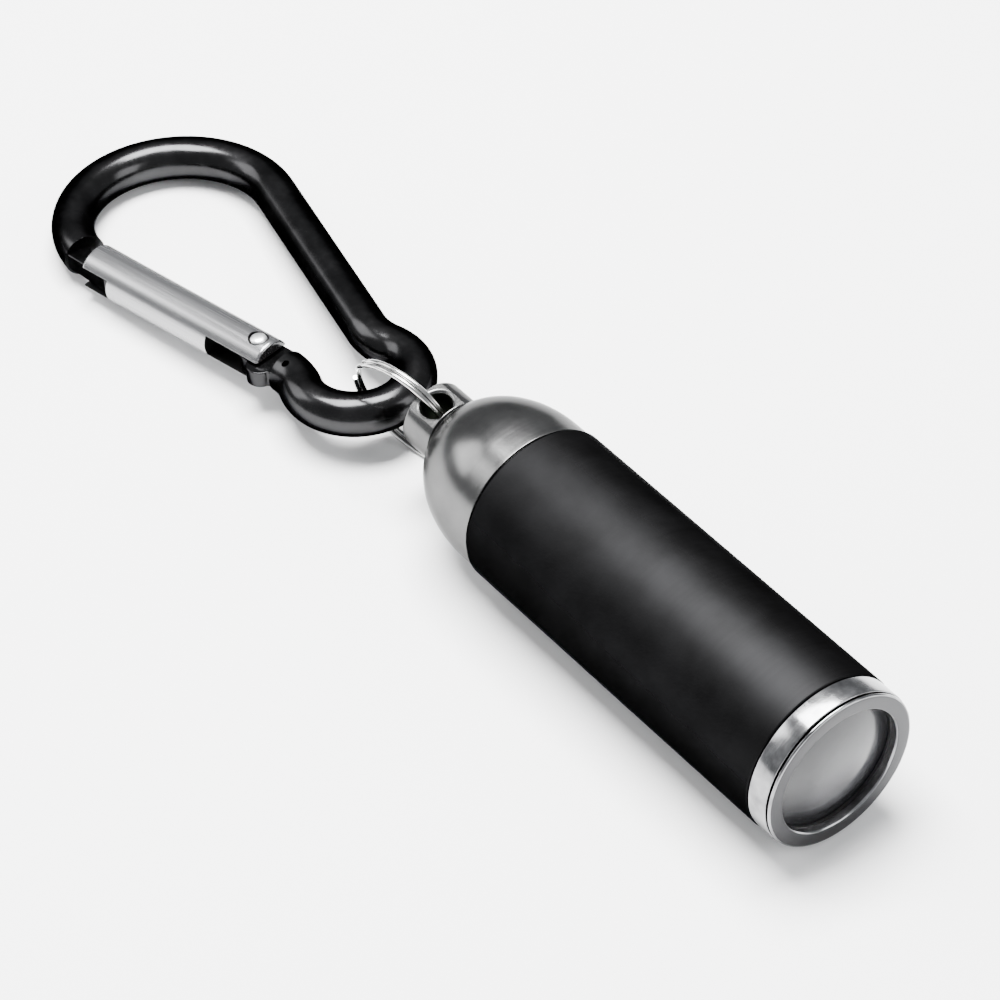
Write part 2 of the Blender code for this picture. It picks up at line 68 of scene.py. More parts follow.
# ---- driving dimensions, as in the CAD model ------------------------------------------------
SLEEVE_LENGTH = 36.0
SLEEVE_RADIUS = 7.5
SLEEVE_STEP = 20.0
BEZEL_FACE = 38.6
BAND_FRONT = 38.15            # the bezel's band ends here, then a groove, then its front lip
LIP_REAR = 38.35
CAP_GAP = 0.25
DOME_START = 2.28
DOME_LENGTH = 9.44
CAP_RADIUS = 7.32
NECK_START = 10.8
NECK_RADIUS = 3.16
LUG_END = 14.7
LUG_HOLE_RADIUS = 1.35
LUG_CHAMFER = 0.35
LUG_FLAT = 2.65
STOP_RING_X = 26.2
FRONT_SEAL_X = 17.0
REAR_SEAL_X = 8.0
CELL_REAR = -0.6
CELL_PITCH = 5.5

RING_RADIUS = 5.7
RING_WIRE = 0.225
RING_PITCH = 0.47
RING_DROP = 1.54
RING_SWING = 10.6

ROD_RADIUS = 2.0
BIG_RADIUS = 9.55
SMALL_RADIUS = 5.05
CENTRES = 28.97
TAPER = math.radians(12.43)
FILLET = 6.29
NOSE_ANGLE = math.radians(265.6)
GATE_RADIUS = 2.15
GATE_NOSE = 20.4
GATE_HEEL = 1.5
HEEL_SLOT_END = -4.7
NOSE_SLOT_START = -17.2
PIN_HOLE = [(0.0, 3.0), (0.62, 3.0), (0.62, -3.0), (0.0, -3.0)]    # a bore to turn round the pivot
SHOULDER = 3.3
TONGUE_HALF = 0.8
SLOT_HALF = 1.0

# ---- frames: millimetres in a piece's own frame to metres in the row's ----------------------
sleeve_low, sleeve_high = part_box("outer_sleeve")
sleeve_middle = (sleeve_low + sleeve_high) / 2
AXIS = Vector((sleeve_low.x, sleeve_middle.y, sleeve_middle.z))
TORCH = Matrix.Translation(AXIS) @ Matrix.Scale(MM, 4)


def own_frame(origin, x_axis, z_axis):
    """A millimetre frame at a point in metres, with its X and Z axes given."""
    z = Vector(z_axis).normalized()
    y = z.cross(Vector(x_axis)).normalized()
    x = y.cross(z)
    turn = Matrix((x, y, z)).transposed().to_4x4()
    return Matrix.Translation(Vector(origin)) @ turn @ Matrix.Scale(MM, 4)


flat = -Vector(JOINTS["gate_hinge"]["axis"])
across = Vector(JOINTS["carabiner_swing"]["axis"])
ROD = own_frame(JOINTS["carabiner_swing"]["pos_m"], across.cross(flat), flat)
GATE = own_frame(JOINTS["gate_hinge"]["pos_m"], -Vector(JOINTS["gate_plunger_slide"]["axis"]), flat)
lug_axis = Vector(JOINTS["ring_swing"]["axis"])
LUG = own_frame(JOINTS["ring_swing"]["pos_m"], (1, 0, 0), lug_axis)
RING = LUG @ Matrix.Rotation(math.radians(RING_SWING), 4, "Z")
UPRIGHT = Matrix.Rotation(math.radians(-90), 4, "Y")    # lays a turned piece's axis along Z


# ---- mesh helpers ---------------------------------------------------------------------------
def arc(centre, radius, start, end, count):
    """Points round an arc; angles in radians."""
    points = []
    for i in range(count + 1):
        angle = start + (end - start) * i / count
        points.append((centre[0] + radius * math.cos(angle), centre[1] + radius * math.sin(angle)))
    return points


def soften(points, reach, closed=True, steps=4):
    """Rounds each corner of an outline."""
    out = []
    count = len(points)
    for i, point in enumerate(points):
        corner = Vector(point)
        if not closed and i in (0, count - 1):
            out.append(tuple(point))
            continue
        back = Vector(points[i - 1]) - corner
        ahead = Vector(points[(i + 1) % count]) - corner
        if back.angle(ahead) > math.radians(160):
            out.append(tuple(point))
            continue
        cut = min(reach, 0.42 * back.length, 0.42 * ahead.length)
        start = corner + back.normalized() * cut
        end = corner + ahead.normalized() * cut
        for k in range(steps + 1):
            share = k / steps
            blend = start * (1 - share) ** 2 + corner * 2 * share * (1 - share) + end * share ** 2
            out.append(tuple(blend))
    return out


def revolve(outline, closed=True, steps=FINE, swell=None):
    """A bmesh turned round X from (radius, x) points. swell changes a radius from its angle and x."""
    work = bmesh.new()
    rings = []
    for radius, x in outline:
        if radius < 1e-6:
            rings.append([work.verts.new((x, 0.0, 0.0))])
            continue
        ring = []
        for k in range(steps):
            angle = math.tau * k / steps
            r = swell(radius, angle, x) if swell else radius
            ring.append(work.verts.new((x, r * math.cos(angle), r * math.sin(angle))))
        rings.append(ring)
    pairs = list(zip(rings, rings[1:]))
    if closed:
        pairs.append((rings[-1], rings[0]))
    for first, second in pairs:
        if len(first) == len(second) == 1:
            continue
        for k in range(steps):
            n = (k + 1) % steps
            if len(first) == 1:
                work.faces.new((first[0], second[k], second[n]))
            elif len(second) == 1:
                work.faces.new((first[k], second[0], first[n]))
            else:
                work.faces.new((first[k], second[k], second[n], first[n]))
    return work


def sweep(points, radius, sides):
    """A bmesh rod or wire of round section along points, with flat ends."""
    path = [Vector(point) for point in points]
    work = bmesh.new()
    rings = []
    normal = (path[1] - path[0]).orthogonal().normalized()
    for i, point in enumerate(path):
        before = path[max(i - 1, 0)]
        after = path[min(i + 1, len(path) - 1)]
        tangent = (after - before).normalized()
        normal = (normal - tangent * normal.dot(tangent)).normalized()
        side = tangent.cross(normal)
        ring = []
        for k in range(sides):
            angle = math.tau * k / sides
            offset = normal * math.cos(angle) + side * math.sin(angle)
            ring.append(work.verts.new(point + offset * radius))
        rings.append(ring)
    for first, second in zip(rings, rings[1:]):
        for k in range(sides):
            n = (k + 1) % sides
            work.faces.new((first[k], first[n], second[n], second[k]))
    work.faces.new(rings[0])
    work.faces.new(rings[-1])
    return work


def slab(outline, low, high, edge=0.0):
    """A bmesh plate between two heights, cut to an outline, with its edges bevelled."""
    work = bmesh.new()
    base = work.faces.new([work.verts.new((x, y, low)) for x, y in outline])
    grown = bmesh.ops.extrude_face_region(work, geom=[base])
    for item in grown["geom"]:
        if isinstance(item, bmesh.types.BMVert):
            item.co.z = high
    if edge:
        rims = [e for e in work.edges if abs(e.verts[0].co.z - e.verts[1].co.z) < 1e-6]
        bmesh.ops.bevel(work, geom=rims, offset=edge, segments=3, profile=0.5, affect="EDGES")
    return work


def block(low, high):
    outline = [(low[0], low[1]), (high[0], low[1]), (high[0], high[1]), (low[0], high[1])]
    return slab(outline, low[2], high[2])


def make(name, work, matrix, sharp=35.0):
    """An object at the origin from a bmesh in a millimetre frame."""
    work.transform(matrix)
    bmesh.ops.recalc_face_normals(work, faces=work.faces)
    mesh = bpy.data.meshes.new(name)
    work.to_mesh(mesh)
    work.free()
    mesh.shade_smooth()
    mesh.set_sharp_from_angle(angle=math.radians(sharp))
    item = bpy.data.objects.new(name, mesh)
    bpy.context.scene.collection.objects.link(item)
    return item


def combine(target, others, operation, sharp=35.0):
    """Joins or cuts with other objects, which are used up."""
    for other in others:
        step = target.modifiers.new("step", "BOOLEAN")
        step.operation = operation
        step.object = other
        step.solver = "EXACT"
    bpy.context.view_layer.update()
    evaluated = target.evaluated_get(bpy.context.evaluated_depsgraph_get())
    mesh = bpy.data.meshes.new_from_object(evaluated)
    target.modifiers.clear()
    target.data = mesh
    mesh.shade_smooth()
    mesh.set_sharp_from_angle(angle=math.radians(sharp))
    for other in others:
        bpy.data.objects.remove(other, do_unlink=True)
    return target


def even_normals(item, edge=0.0):
    """Bevels what the cuts left sharp, and keeps the shading of flat faces flat."""
    if edge:
        bevel = item.modifiers.new("edges", "BEVEL")
        bevel.width = edge * MM
        bevel.segments = 2
        bevel.limit_method = "ANGLE"
        bevel.angle_limit = math.radians(40)
        bevel.harden_normals = False
    weigh = item.modifiers.new("normals", "WEIGHTED_NORMAL")
    weigh.keep_sharp = True


def dress(item, material, body, slot, *nodes):
    item.data.materials.clear()
    item.data.materials.append(material)
    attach(item, body)
    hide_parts(*nodes)
    return item


# ---- materials ------------------------------------------------------------------------------
def node(tree, kind, inputs=None, **settings):
    made = tree.nodes.new(kind)
    for name, value in settings.items():
        setattr(made, name, value)
    for name, value in (inputs or {}).items():
        if isinstance(value, bpy.types.NodeSocket):
            tree.links.new(value, made.inputs[name])
        else:
            made.inputs[name].default_value = value
    return made


def new_material(name, sockets):
    material = bpy.data.materials.new(name)
    material.use_nodes = True
    tree = material.node_tree
    shader = tree.nodes["Principled BSDF"]
    for socket, value in sockets.items():
        shader.inputs[socket].default_value = value
    return material, tree, shader


def own_coordinates(tree, matrix=None, stretch=(1.0, 1.0, 1.0)):
    """Rest coordinates in millimetres, in a piece's own frame if matrix is given."""
    source = node(tree, "ShaderNodeTexCoord").outputs["Object"]
    place, turn, size = (matrix or Matrix.Scale(MM, 4)).inverted().decompose()
    inputs = {"Vector": source, "Location": place, "Rotation": turn.to_euler(), "Scale": size}
    local = node(tree, "ShaderNodeMapping", inputs).outputs[0]
    if stretch == (1.0, 1.0, 1.0):
        return local
    return node(tree, "ShaderNodeMapping", {"Vector": local, "Scale": stretch}).outputs[0]


def lathe_coordinates(tree, along=1.0, outward=1.0):
    """(x, radius, 0) in millimetres about the torch's axis, so that a texture runs round it."""
    source = node(tree, "ShaderNodeTexCoord").outputs["Object"]
    moved = node(tree, "ShaderNodeVectorMath", {0: source, 1: AXIS}, operation="SUBTRACT").outputs[0]
    parts = node(tree, "ShaderNodeSeparateXYZ", {0: moved})
    off_axis = node(tree, "ShaderNodeCombineXYZ", {"Y": parts.outputs["Y"], "Z": parts.outputs["Z"]})
    radius = node(tree, "ShaderNodeVectorMath", {0: off_axis.outputs[0]}, operation="LENGTH")
    joined = node(tree, "ShaderNodeCombineXYZ", {"X": parts.outputs["X"], "Y": radius.outputs["Value"]})
    scale = (along / MM, outward / MM, 1.0)
    return node(tree, "ShaderNodeMapping", {"Vector": joined.outputs[0], "Scale": scale}).outputs[0]


def noise(tree, vector, scale, detail=3.0, rough=0.55):
    texture = node(tree, "ShaderNodeTexNoise", {"Vector": vector, "Scale": scale, "Detail": detail,
                                               "Roughness": rough})
    return texture.outputs["Fac"]


def spread(tree, value, low, high, start=0.3, end=0.7):
    """Maps a noise's middle range onto low to high."""
    inputs = {"Value": value, "From Min": start, "From Max": end, "To Min": low, "To Max": high}
    return node(tree, "ShaderNodeMapRange", inputs).outputs[0]


def tinted(tree, factor, dark, light):
    ramp = node(tree, "ShaderNodeValToRGB", {"Fac": factor})
    ramp.color_ramp.elements[0].color = (*dark, 1.0)
    ramp.color_ramp.elements[1].color = (*light, 1.0)
    ramp.color_ramp.elements[0].position = 0.3
    ramp.color_ramp.elements[1].position = 0.7
    return ramp.outputs["Color"]


def surface(name, dark, light, rough, sockets, grain, grain_scale, patch_scale, depth, patch=None):
    """A finish whose colour and roughness drift in patches, with a fine grain as bump.
    grain and patch are functions that give a vector; depth is the bump's distance in metres."""
    material, tree, shader = new_material(name, sockets)
    patch_vector = (patch or own_coordinates)(tree)
    patches = noise(tree, patch_vector, patch_scale, 4.0)
    fine = noise(tree, grain(tree), grain_scale, 5.0, 0.65)
    tree.links.new(tinted(tree, patches, dark, light), shader.inputs["Base Color"])
    mixed = node(tree, "ShaderNodeMath", {0: patches, 1: fine}, operation="ADD").outputs[0]
    tree.links.new(spread(tree, mixed, rough[0], rough[1], 0.75, 1.25), shader.inputs["Roughness"])
    bump = node(tree, "ShaderNodeBump", {"Height": fine, "Strength": 0.6, "Distance": depth})
    tree.links.new(bump.outputs[0], shader.inputs["Normal"])
    return material


BLACK = (0.0, 0.0, 0.0, 1.0)
GREY = (0.45, 0.45, 0.45, 1.0)


def lathe_grain(tree):
    return lathe_coordinates(tree, 1.0, 1.0)


def wire_grain(tree):
    return own_coordinates(tree)


def gate_grain(tree):
    return own_coordinates(tree, GATE, (0.02, 1.0, 1.0))


def rod_grain(tree):
    return own_coordinates(tree, ROD)


anodised = surface("black_anodised", (0.0068, 0.0068, 0.007), (0.0098, 0.0098, 0.0102), (0.46, 0.52),
                   {"Metallic": 1.0, "Specular Tint": BLACK}, lathe_grain, 9.0, 0.25, 0.000003)
inner_black = surface("inner_black_anodised", (0.008, 0.008, 0.009), (0.02, 0.02, 0.021),
                      (0.5, 0.62), {"Metallic": 0.0}, lathe_grain, 6.0, 0.5, 0.000004)
chrome = surface("bright_chrome", (0.12, 0.12, 0.124), (0.31, 0.31, 0.316), (0.10, 0.24),
                 {"Metallic": 1.0}, lathe_grain, 7.0, 0.45, 0.0000012)
nickel = surface("nickel", (0.08, 0.08, 0.08), (0.13, 0.13, 0.129), (0.19, 0.27),
                 {"Metallic": 1.0, "Specular Tint": GREY}, lathe_grain, 5.0, 0.22, 0.0000015)
tube_nickel = surface("tube_nickel", (0.2, 0.2, 0.196), (0.256, 0.256, 0.252), (0.2, 0.34),
                      {"Metallic": 1.0}, lathe_grain, 8.0, 0.3, 0.000002)
ring_steel = surface("ring_steel", (0.34, 0.34, 0.335), (0.55, 0.55, 0.54), (0.1, 0.2),
                     {"Metallic": 1.0}, wire_grain, 6.0, 0.8, 0.0000015)
gloss_black = surface("gloss_black", (0.021, 0.021, 0.0215), (0.034, 0.034, 0.035), (0.16, 0.24),
                      {"Metallic": 1.0, "Specular Tint": BLACK}, rod_grain, 1.6, 0.3, 0.000003)
satin = surface("satin_aluminium", (0.22, 0.22, 0.224), (0.33, 0.33, 0.335), (0.22, 0.3),
                {"Metallic": 1.0}, gate_grain, 5.0, 1.4, 0.000002, gate_grain)
rivet_steel = surface("rivet_steel", (0.72, 0.72, 0.72), (0.84, 0.84, 0.84), (0.3, 0.4),
                      {"Metallic": 1.0}, wire_grain, 9.0, 1.5, 0.000002)
rubber = surface("black_rubber", (0.01, 0.01, 0.01), (0.022, 0.021, 0.02), (0.6, 0.8),
                 {"Metallic": 0.0}, wire_grain, 10.0, 0.6, 0.00001)
cell_steel = surface("cell_steel", (0.26, 0.26, 0.25), (0.35, 0.35, 0.335), (0.18, 0.32),
                     {"Metallic": 1.0}, lathe_grain, 9.0, 0.4, 0.000002)
spring_steel = surface("spring_steel", (0.248, 0.237, 0.215), (0.363, 0.352, 0.33), (0.22, 0.36),
                       {"Metallic": 1.0}, wire_grain, 14.0, 1.2, 0.000002)
white_plastic = surface("white_plastic", (0.62, 0.62, 0.59), (0.74, 0.74, 0.71), (0.42, 0.56),
                        {"Metallic": 0.0}, wire_grain, 7.0, 0.4, 0.000006)
board_white = surface("board_white", (0.72, 0.74, 0.72), (0.84, 0.86, 0.84), (0.35, 0.5),
                      {"Metallic": 0.0}, wire_grain, 5.0, 0.8, 0.000004)
phosphor = surface("led_phosphor", (0.8, 0.62, 0.1), (0.9, 0.78, 0.25), (0.4, 0.55),
                   {"Metallic": 0.0}, wire_grain, 14.0, 1.0, 0.000008)
brass = surface("brass", (0.62, 0.44, 0.17), (0.78, 0.6, 0.3), (0.22, 0.38),
                {"Metallic": 1.0}, lathe_grain, 7.0, 0.5, 0.000003)
silicone = surface("clear_silicone", (0.88, 0.88, 0.82), (0.96, 0.96, 0.92), (0.04, 0.12),
                   {"Transmission Weight": 0.9, "IOR": 1.41}, wire_grain, 4.0, 0.6, 0.000002)
acrylic = surface("clear_acrylic", (0.075, 0.075, 0.081), (0.125, 0.125, 0.132), (0.1, 0.2),
                  {"Transmission Weight": 0.45, "IOR": 1.49}, wire_grain, 0.5, 0.16, 0.00002)


def window(tree, value, low, high):
    """1 where a value lies between two limits, else 0."""
    return node(tree, "ShaderNodeMath", {0: value, 1: (low + high) / 2, 2: (high - low) / 2},
                operation="COMPARE").outputs[0]


def both(tree, first, second):
    return node(tree, "ShaderNodeMath", {0: first, 1: second}, operation="MULTIPLY").outputs[0]


def either(tree, first, second):
    return node(tree, "ShaderNodeMath", {0: first, 1: second}, operation="MAXIMUM").outputs[0]


def paint_region(material, mask, colour, rough):
    """Gives part of a surface another colour and roughness: here painted shade in the bezel's groove,
    the lug's hole, the gate's slots and one side of the lens, and a darker tone on the bezel's face.
    mask makes a 0 to 1 value.
    """
    tree = material.node_tree
    shader = tree.nodes["Principled BSDF"]
    amount = mask(tree)
    base = shader.inputs["Base Color"].links[0].from_socket
    mixed = node(tree, "ShaderNodeMixRGB", {"Fac": amount, "Color1": base, "Color2": (*colour, 1.0)})
    tree.links.new(mixed.outputs[0], shader.inputs["Base Color"])
    old_rough = shader.inputs["Roughness"].links[0].from_socket
    inputs = {"Value": amount, "To Min": old_rough, "To Max": rough}
    blended = node(tree, "ShaderNodeMapRange", inputs)
    tree.links.new(blended.outputs[0], shader.inputs["Roughness"])


def axes_of(tree, vector):
    parts = node(tree, "ShaderNodeSeparateXYZ", {0: vector})
    return parts.outputs["X"], parts.outputs["Y"], parts.outputs["Z"]


def off_axis_distance(tree, x, y):
    flat_point = node(tree, "ShaderNodeCombineXYZ", {"X": x, "Y": y}).outputs[0]
    return node(tree, "ShaderNodeVectorMath", {0: flat_point}, operation="LENGTH").outputs["Value"]


# Painted shade: the groove between the bezel's band and its front lip is coloured near black.
def bezel_groove_shade(tree):
    x, radius, _ = axes_of(tree, lathe_coordinates(tree))
    along = window(tree, x, BAND_FRONT - 0.02, LIP_REAR + 0.01)
    return both(tree, along, window(tree, radius, 6.5, 7.3))


def bezel_face(tree):
    x, radius, _ = axes_of(tree, lathe_coordinates(tree))
    return both(tree, window(tree, x, BEZEL_FACE - 0.03, BEZEL_FACE + 1), window(tree, radius, 5.9, 7.4))


# Painted shade: the inside of the lug's cross hole is coloured near black.
def lug_hole_shade(tree):
    x, y, _ = axes_of(tree, own_coordinates(tree, LUG))
    return window(tree, off_axis_distance(tree, x, y), -1.0, LUG_HOLE_RADIUS + 0.04)


# Painted shade: the gate's slots and the gap round its rivet are coloured near black.
def gate_hollow_shade(tree):
    x, y, z = axes_of(tree, own_coordinates(tree, GATE))
    heel_slot = window(tree, x, HEEL_SLOT_END - 0.05, 3.0)
    nose_slot = window(tree, x, -25.0, NOSE_SLOT_START + 0.05)
    slots = either(tree, heel_slot, nose_slot)
    slots = both(tree, slots, window(tree, z, -SLOT_HALF - 0.03, SLOT_HALF + 0.03))
    rivet_hole = both(tree, window(tree, off_axis_distance(tree, x, y), 0.8, 0.95),
                      window(tree, y, -2.0, 2.0))
    return either(tree, slots, rivet_hole)


def lens_shade(tree):
    """Darker towards the upper and nearer sides of the lens."""
    moved = own_coordinates(tree, TORCH @ Matrix.Translation((37.0, 0.9, -0.7)))
    _, y, z = axes_of(tree, moved)
    distance = off_axis_distance(tree, y, z)
    ripple = noise(tree, moved, 0.35, 2.0)
    reach = node(tree, "ShaderNodeMath", {0: ripple, 1: 2.4, 2: distance}, operation="MULTIPLY_ADD")
    return spread(tree, reach.outputs[0], 0.0, 1.0, 3.4, 5.6)


# Painted shade in the bezel's groove.
paint_region(chrome, bezel_groove_shade, (0.01, 0.01, 0.01), 0.5)
paint_region(chrome, bezel_face, (0.045, 0.045, 0.047), 0.34)
# Painted shade inside the lug's hole.
paint_region(nickel, lug_hole_shade, (0.012, 0.014, 0.011), 0.5)
# Painted shade in the gate's slots and round its rivet.
paint_region(satin, gate_hollow_shade, (0.012, 0.012, 0.012), 0.5)
paint_region(acrylic, lens_shade, (0.035, 0.035, 0.038), 0.2)


# ---- the head -------------------------------------------------------------------------------
def build_sleeve():
    front_bore = 7.1
    rear_bore = 6.9
    outline = [(front_bore, SLEEVE_LENGTH), (SLEEVE_RADIUS, SLEEVE_LENGTH), (SLEEVE_RADIUS, 0.0),
               (rear_bore, 0.0), (rear_bore, SLEEVE_STEP), (front_bore, SLEEVE_STEP)]
    item = make("sleeve_shell", revolve(soften(outline, 0.16)), TORCH)
    dress(item, anodised, "head", "black_anodised", "outer_sleeve")


def build_bezel():
    band = 7.42
    band_rear = 36.1
    lip = 7.34
    groove = 6.95
    spigot = 7.0
    spigot_rear = 33.1
    bore = 6.4
    window_edge = 5.87
    ledge = BEZEL_FACE - 0.8
    outline = [
        (6.02, BEZEL_FACE), (7.12, BEZEL_FACE), (7.3, BEZEL_FACE - 0.07), (lip, BEZEL_FACE - 0.16),
        (lip, LIP_REAR), (groove, LIP_REAR), (groove, BAND_FRONT), (band, BAND_FRONT),
        (band, band_rear), (spigot, band_rear), (spigot, spigot_rear), (bore, spigot_rear),
        (bore, ledge), (window_edge, ledge), (window_edge, BEZEL_FACE - 0.15),
    ]
    item = make("bezel_body", revolve(soften(outline, 0.1)), TORCH)
    dress(item, chrome, "head", "bright_chrome", "bezel_ring")


def build_lens():
    back = 35.6
    flange = BEZEL_FACE - 1.2
    edge = 5.6
    rise = 1.05
    radius = (edge ** 2 + rise ** 2) / (2 * rise)
    centre = flange + rise - radius
    outline = []
    steps = 28
    for i in range(steps + 1):
        out = edge * i / steps
        outline.append((out, centre + math.sqrt(radius ** 2 - out ** 2)))
    rim = 6.3
    outline += [(5.72, flange), (rim - 0.05, flange), (rim, flange - 0.05), (rim, back), (0.0, back)]
    item = make("lens_body", revolve(outline, closed=False), TORCH)
    dress(item, acrylic, "head", "clear_acrylic", "lens")
    gasket = [(5.97, 37.47), (6.32, 37.47), (6.32, 37.73), (5.97, 37.73)]
    seal = make("lens_seal", revolve(soften(gasket, 0.1)), TORCH)
    dress(seal, rubber, "head", "black_rubber", "lens_gasket")
    keeper = [(5.3, 35.5), (6.33, 35.5), (6.33, 34.2), (5.3, 34.2)]
    keeper_ring = make("lens_keeper", revolve(soften(keeper, 0.12)), TORCH)
    dress(keeper_ring, inner_black, "head", "black_anodised", "lens_retainer")


# ---- the barrel -----------------------------------------------------------------------------
def coil(radius_start, radius_end, start, end, turns, per_turn=36):
    count = int(turns * per_turn)
    points = []
    for i in range(count + 1):
        share = i / count
        angle = share * turns * math.tau
        radius = radius_start + (radius_end - radius_start) * share
        points.append((start + (end - start) * share, radius * math.cos(angle),
                       radius * math.sin(angle)))
    return points


def build_tube():
    groove = 0.35
    crest = 6.5
    root = 6.26
    pitch = 0.5
    thread_front = -0.5
    thread_rear = -4.1
    rear = -4.3
    bore = 6.15
    outside = 6.75
    outline = [(bore, 28.0), (6.55, 28.0), (outside, 27.8)]
    for middle, floor in ((STOP_RING_X, 6.4), (FRONT_SEAL_X, 6.35), (REAR_SEAL_X, 6.35)):
        outline += [(outside, middle + groove), (floor, middle + groove), (floor, middle - groove),
                    (outside, middle - groove)]
    outline += [(outside, -0.1), (root, -0.1)]
    outline = soften(outline, 0.07, closed=False)
    thread_steps = 88
    for i in range(thread_steps + 1):
        outline.append((root, -0.2 - 3.9 * i / thread_steps))
    outline += [(root - 0.05, rear), (bore, rear)]

    def thread(radius, angle, x):
        if radius != root or not thread_rear <= x <= thread_front:
            return radius
        phase = (x / pitch + angle / math.tau) % 1.0
        fade = min(1.0, (thread_front - x) / 0.4, (x - thread_rear) / 0.4)
        return radius + (crest - root) * fade * max(0.0, 1.0 - abs(phase - 0.5) * 2.6)

    item = make("tube_shell", revolve(outline, swell=thread), TORCH, sharp=50.0)
    dress(item, tube_nickel, "barrel", "nickel", "battery_tube")
    liner = [(5.88, 16.2), (6.08, 16.2), (6.08, -0.8), (5.88, -0.8)]
    lining = make("tube_lining", revolve(soften(liner, 0.05)), TORCH)
    dress(lining, white_plastic, "barrel", "white_plastic", "battery_liner")


def build_cells():
    radius = 5.8
    height = 5.4
    for number in range(3):
        rear = CELL_REAR + (2 - number) * CELL_PITCH
        front = rear + height
        shoulder = rear + 0.25
        seal = rear + 0.12
        outline = [(0.0, front), (radius, front), (radius, shoulder), (5.3, shoulder), (5.2, seal),
                   (4.85, seal), (4.7, rear), (0.0, rear)]
        name = f"battery_cell_{number + 1}"
        outline = soften(outline, 0.18, closed=False)
        item = make(f"cell_{number + 1}", revolve(outline, closed=False), TORCH)
        dress(item, cell_steel, "barrel", "cell_steel", name)


def torus(name, middle, major, minor, body, node_name):
    outline = arc((major, middle), minor, 0.0, math.tau, 20)[:-1]
    dress(make(name, revolve(outline), TORCH), rubber, body, "black_rubber", node_name)


def build_lamp():
    holder = [(5.45, 26.0), (6.05, 26.0), (6.05, 19.0), (2.25, 19.0), (2.25, 25.0), (5.45, 25.0)]
    item = make("lamp_holder", revolve(soften(holder, 0.15)), TORCH)
    dress(item, brass, "barrel", "brass", "led_holder")
    insulator = [(1.0, 24.8), (2.1, 24.8), (2.1, 18.8), (5.5, 18.8), (5.5, 17.6), (1.0, 17.6)]
    item = make("lamp_insulator", revolve(soften(insulator, 0.15)), TORCH)
    dress(item, white_plastic, "barrel", "white_plastic", "contact_insulator")
    contact = coil(3.0, 1.0, 15.95, 17.25, 2.5)
    contact += [(17.5, -0.6, 0.0), (17.8, 0.0, 0.0), (24.9, 0.0, 0.0)]
    item = make("lamp_contact", sweep(contact, 0.12, 12), TORCH)
    dress(item, spring_steel, "barrel", "spring_steel", "positive_contact_spring")
    board = [(0.0, 25.85), (5.3, 25.85), (5.3, 25.05), (0.0, 25.05)]
    item = make("lamp_board", revolve(soften(board, 0.06, closed=False), closed=False), TORCH)
    dress(item, board_white, "barrel", "board_white", "led_board")
    forward = TORCH @ Matrix.Rotation(math.radians(90), 4, "Y")
    chip = make("lamp_chip", block((-1.7, -1.7, 25.9), (1.7, 1.7, 26.6)), forward)
    even_normals(chip, 0.12)
    dress(chip, phosphor, "barrel", "led_phosphor", "led_package")
    dome_base = 26.65
    dome_radius = 1.4
    dome = [(0.0, dome_base + dome_radius)]
    dome += arc((0.0, dome_base), dome_radius, math.pi / 2, 0.0, 20)[1:]
    dome.append((0.0, dome_base))
    item = make("lamp_dome", revolve(dome, closed=False, steps=64), TORCH)
    dress(item, silicone, "barrel", "clear_silicone", "led_dome")


def build_barrel():
    build_tube()
    build_cells()
    build_lamp()
    gap = math.radians(14)
    snap = [(STOP_RING_X, y, z) for y, z in arc((0, 0), 6.72, gap, math.tau - gap, 120)]
    item = make("stop_wire", sweep(snap, 0.24, 16), TORCH)
    dress(item, spring_steel, "barrel", "spring_steel", "stop_ring")
    torus("front_seal", FRONT_SEAL_X, 6.62, 0.24, "barrel", "front_o_ring")
    torus("rear_seal", REAR_SEAL_X, 6.62, 0.24, "barrel", "rear_o_ring")


# ---- the tail cap ---------------------------------------------------------------------------
def build_tail():
    seal_seat = 6.98
    seal_floor = -0.65
    outer = [(seal_seat, -CAP_GAP), (CAP_RADIUS, -CAP_GAP), (CAP_RADIUS, -DOME_START)]
    steps = 40
    for i in range(1, steps):
        depth = DOME_START + (NECK_START - DOME_START) * math.sin(math.pi / 2 * i / steps)
        share = (depth - DOME_START) / DOME_LENGTH
        outer.append((CAP_RADIUS * math.sqrt(1 - share ** 2), -depth))
    waist = NECK_RADIUS - 0.2
    outer += [(NECK_RADIUS + 0.2, -NECK_START), (waist, -NECK_START), (waist, -NECK_START - 0.25),
              (NECK_RADIUS, -NECK_START - 0.25)]
    end_round = 0.45
    outer += arc((NECK_RADIUS - end_round, -LUG_END + end_round), end_round, 0.0, -math.pi / 2, 8)
    outer.append((0.0, -LUG_END))
    socket = 6.62
    socket_end = -4.45
    pocket = 5.6
    pocket_end = -5.9
    inside = [(0.0, pocket_end), (pocket, pocket_end), (pocket, socket_end), (socket, socket_end),
              (socket, seal_floor), (seal_seat, seal_floor)]
    outline = [(seal_seat, seal_floor)] + outer
    outline = soften(outline, 0.09, closed=False)[1:]
    item = make("tail_dome", revolve(outline + inside), TORCH)

    clear = 5.0
    mouth = LUG_HOLE_RADIUS + LUG_CHAMFER
    half = [(0.0, clear), (mouth, clear), (mouth, LUG_FLAT)]
    half += arc((mouth, LUG_FLAT - LUG_CHAMFER), LUG_CHAMFER, math.pi / 2, math.pi, 6)
    profile = half + [(radius, -x) for radius, x in reversed(half)]
    hole = make("hole", revolve(profile, closed=False, steps=96), LUG @ UPRIGHT)
    cutters = [hole]
    for side in (1, -1):
        low, high = sorted((side * LUG_FLAT, side * clear))
        cutters.append(make("flat", block((-4.0, -clear, low), (1.75, clear, high)), LUG))
    combine(item, cutters, "DIFFERENCE")
    even_normals(item)
    dress(item, nickel, "tail", "nickel", "tail_cap")
    torus("tail_seal", -0.35, 6.73, 0.19, "tail", "tail_o_ring")
    spring = make("tail_coil", sweep(coil(3.9, 2.6, -5.6, -0.95, 4.0), 0.25, 16), TORCH)
    dress(spring, spring_steel, "tail", "spring_steel", "tail_spring")


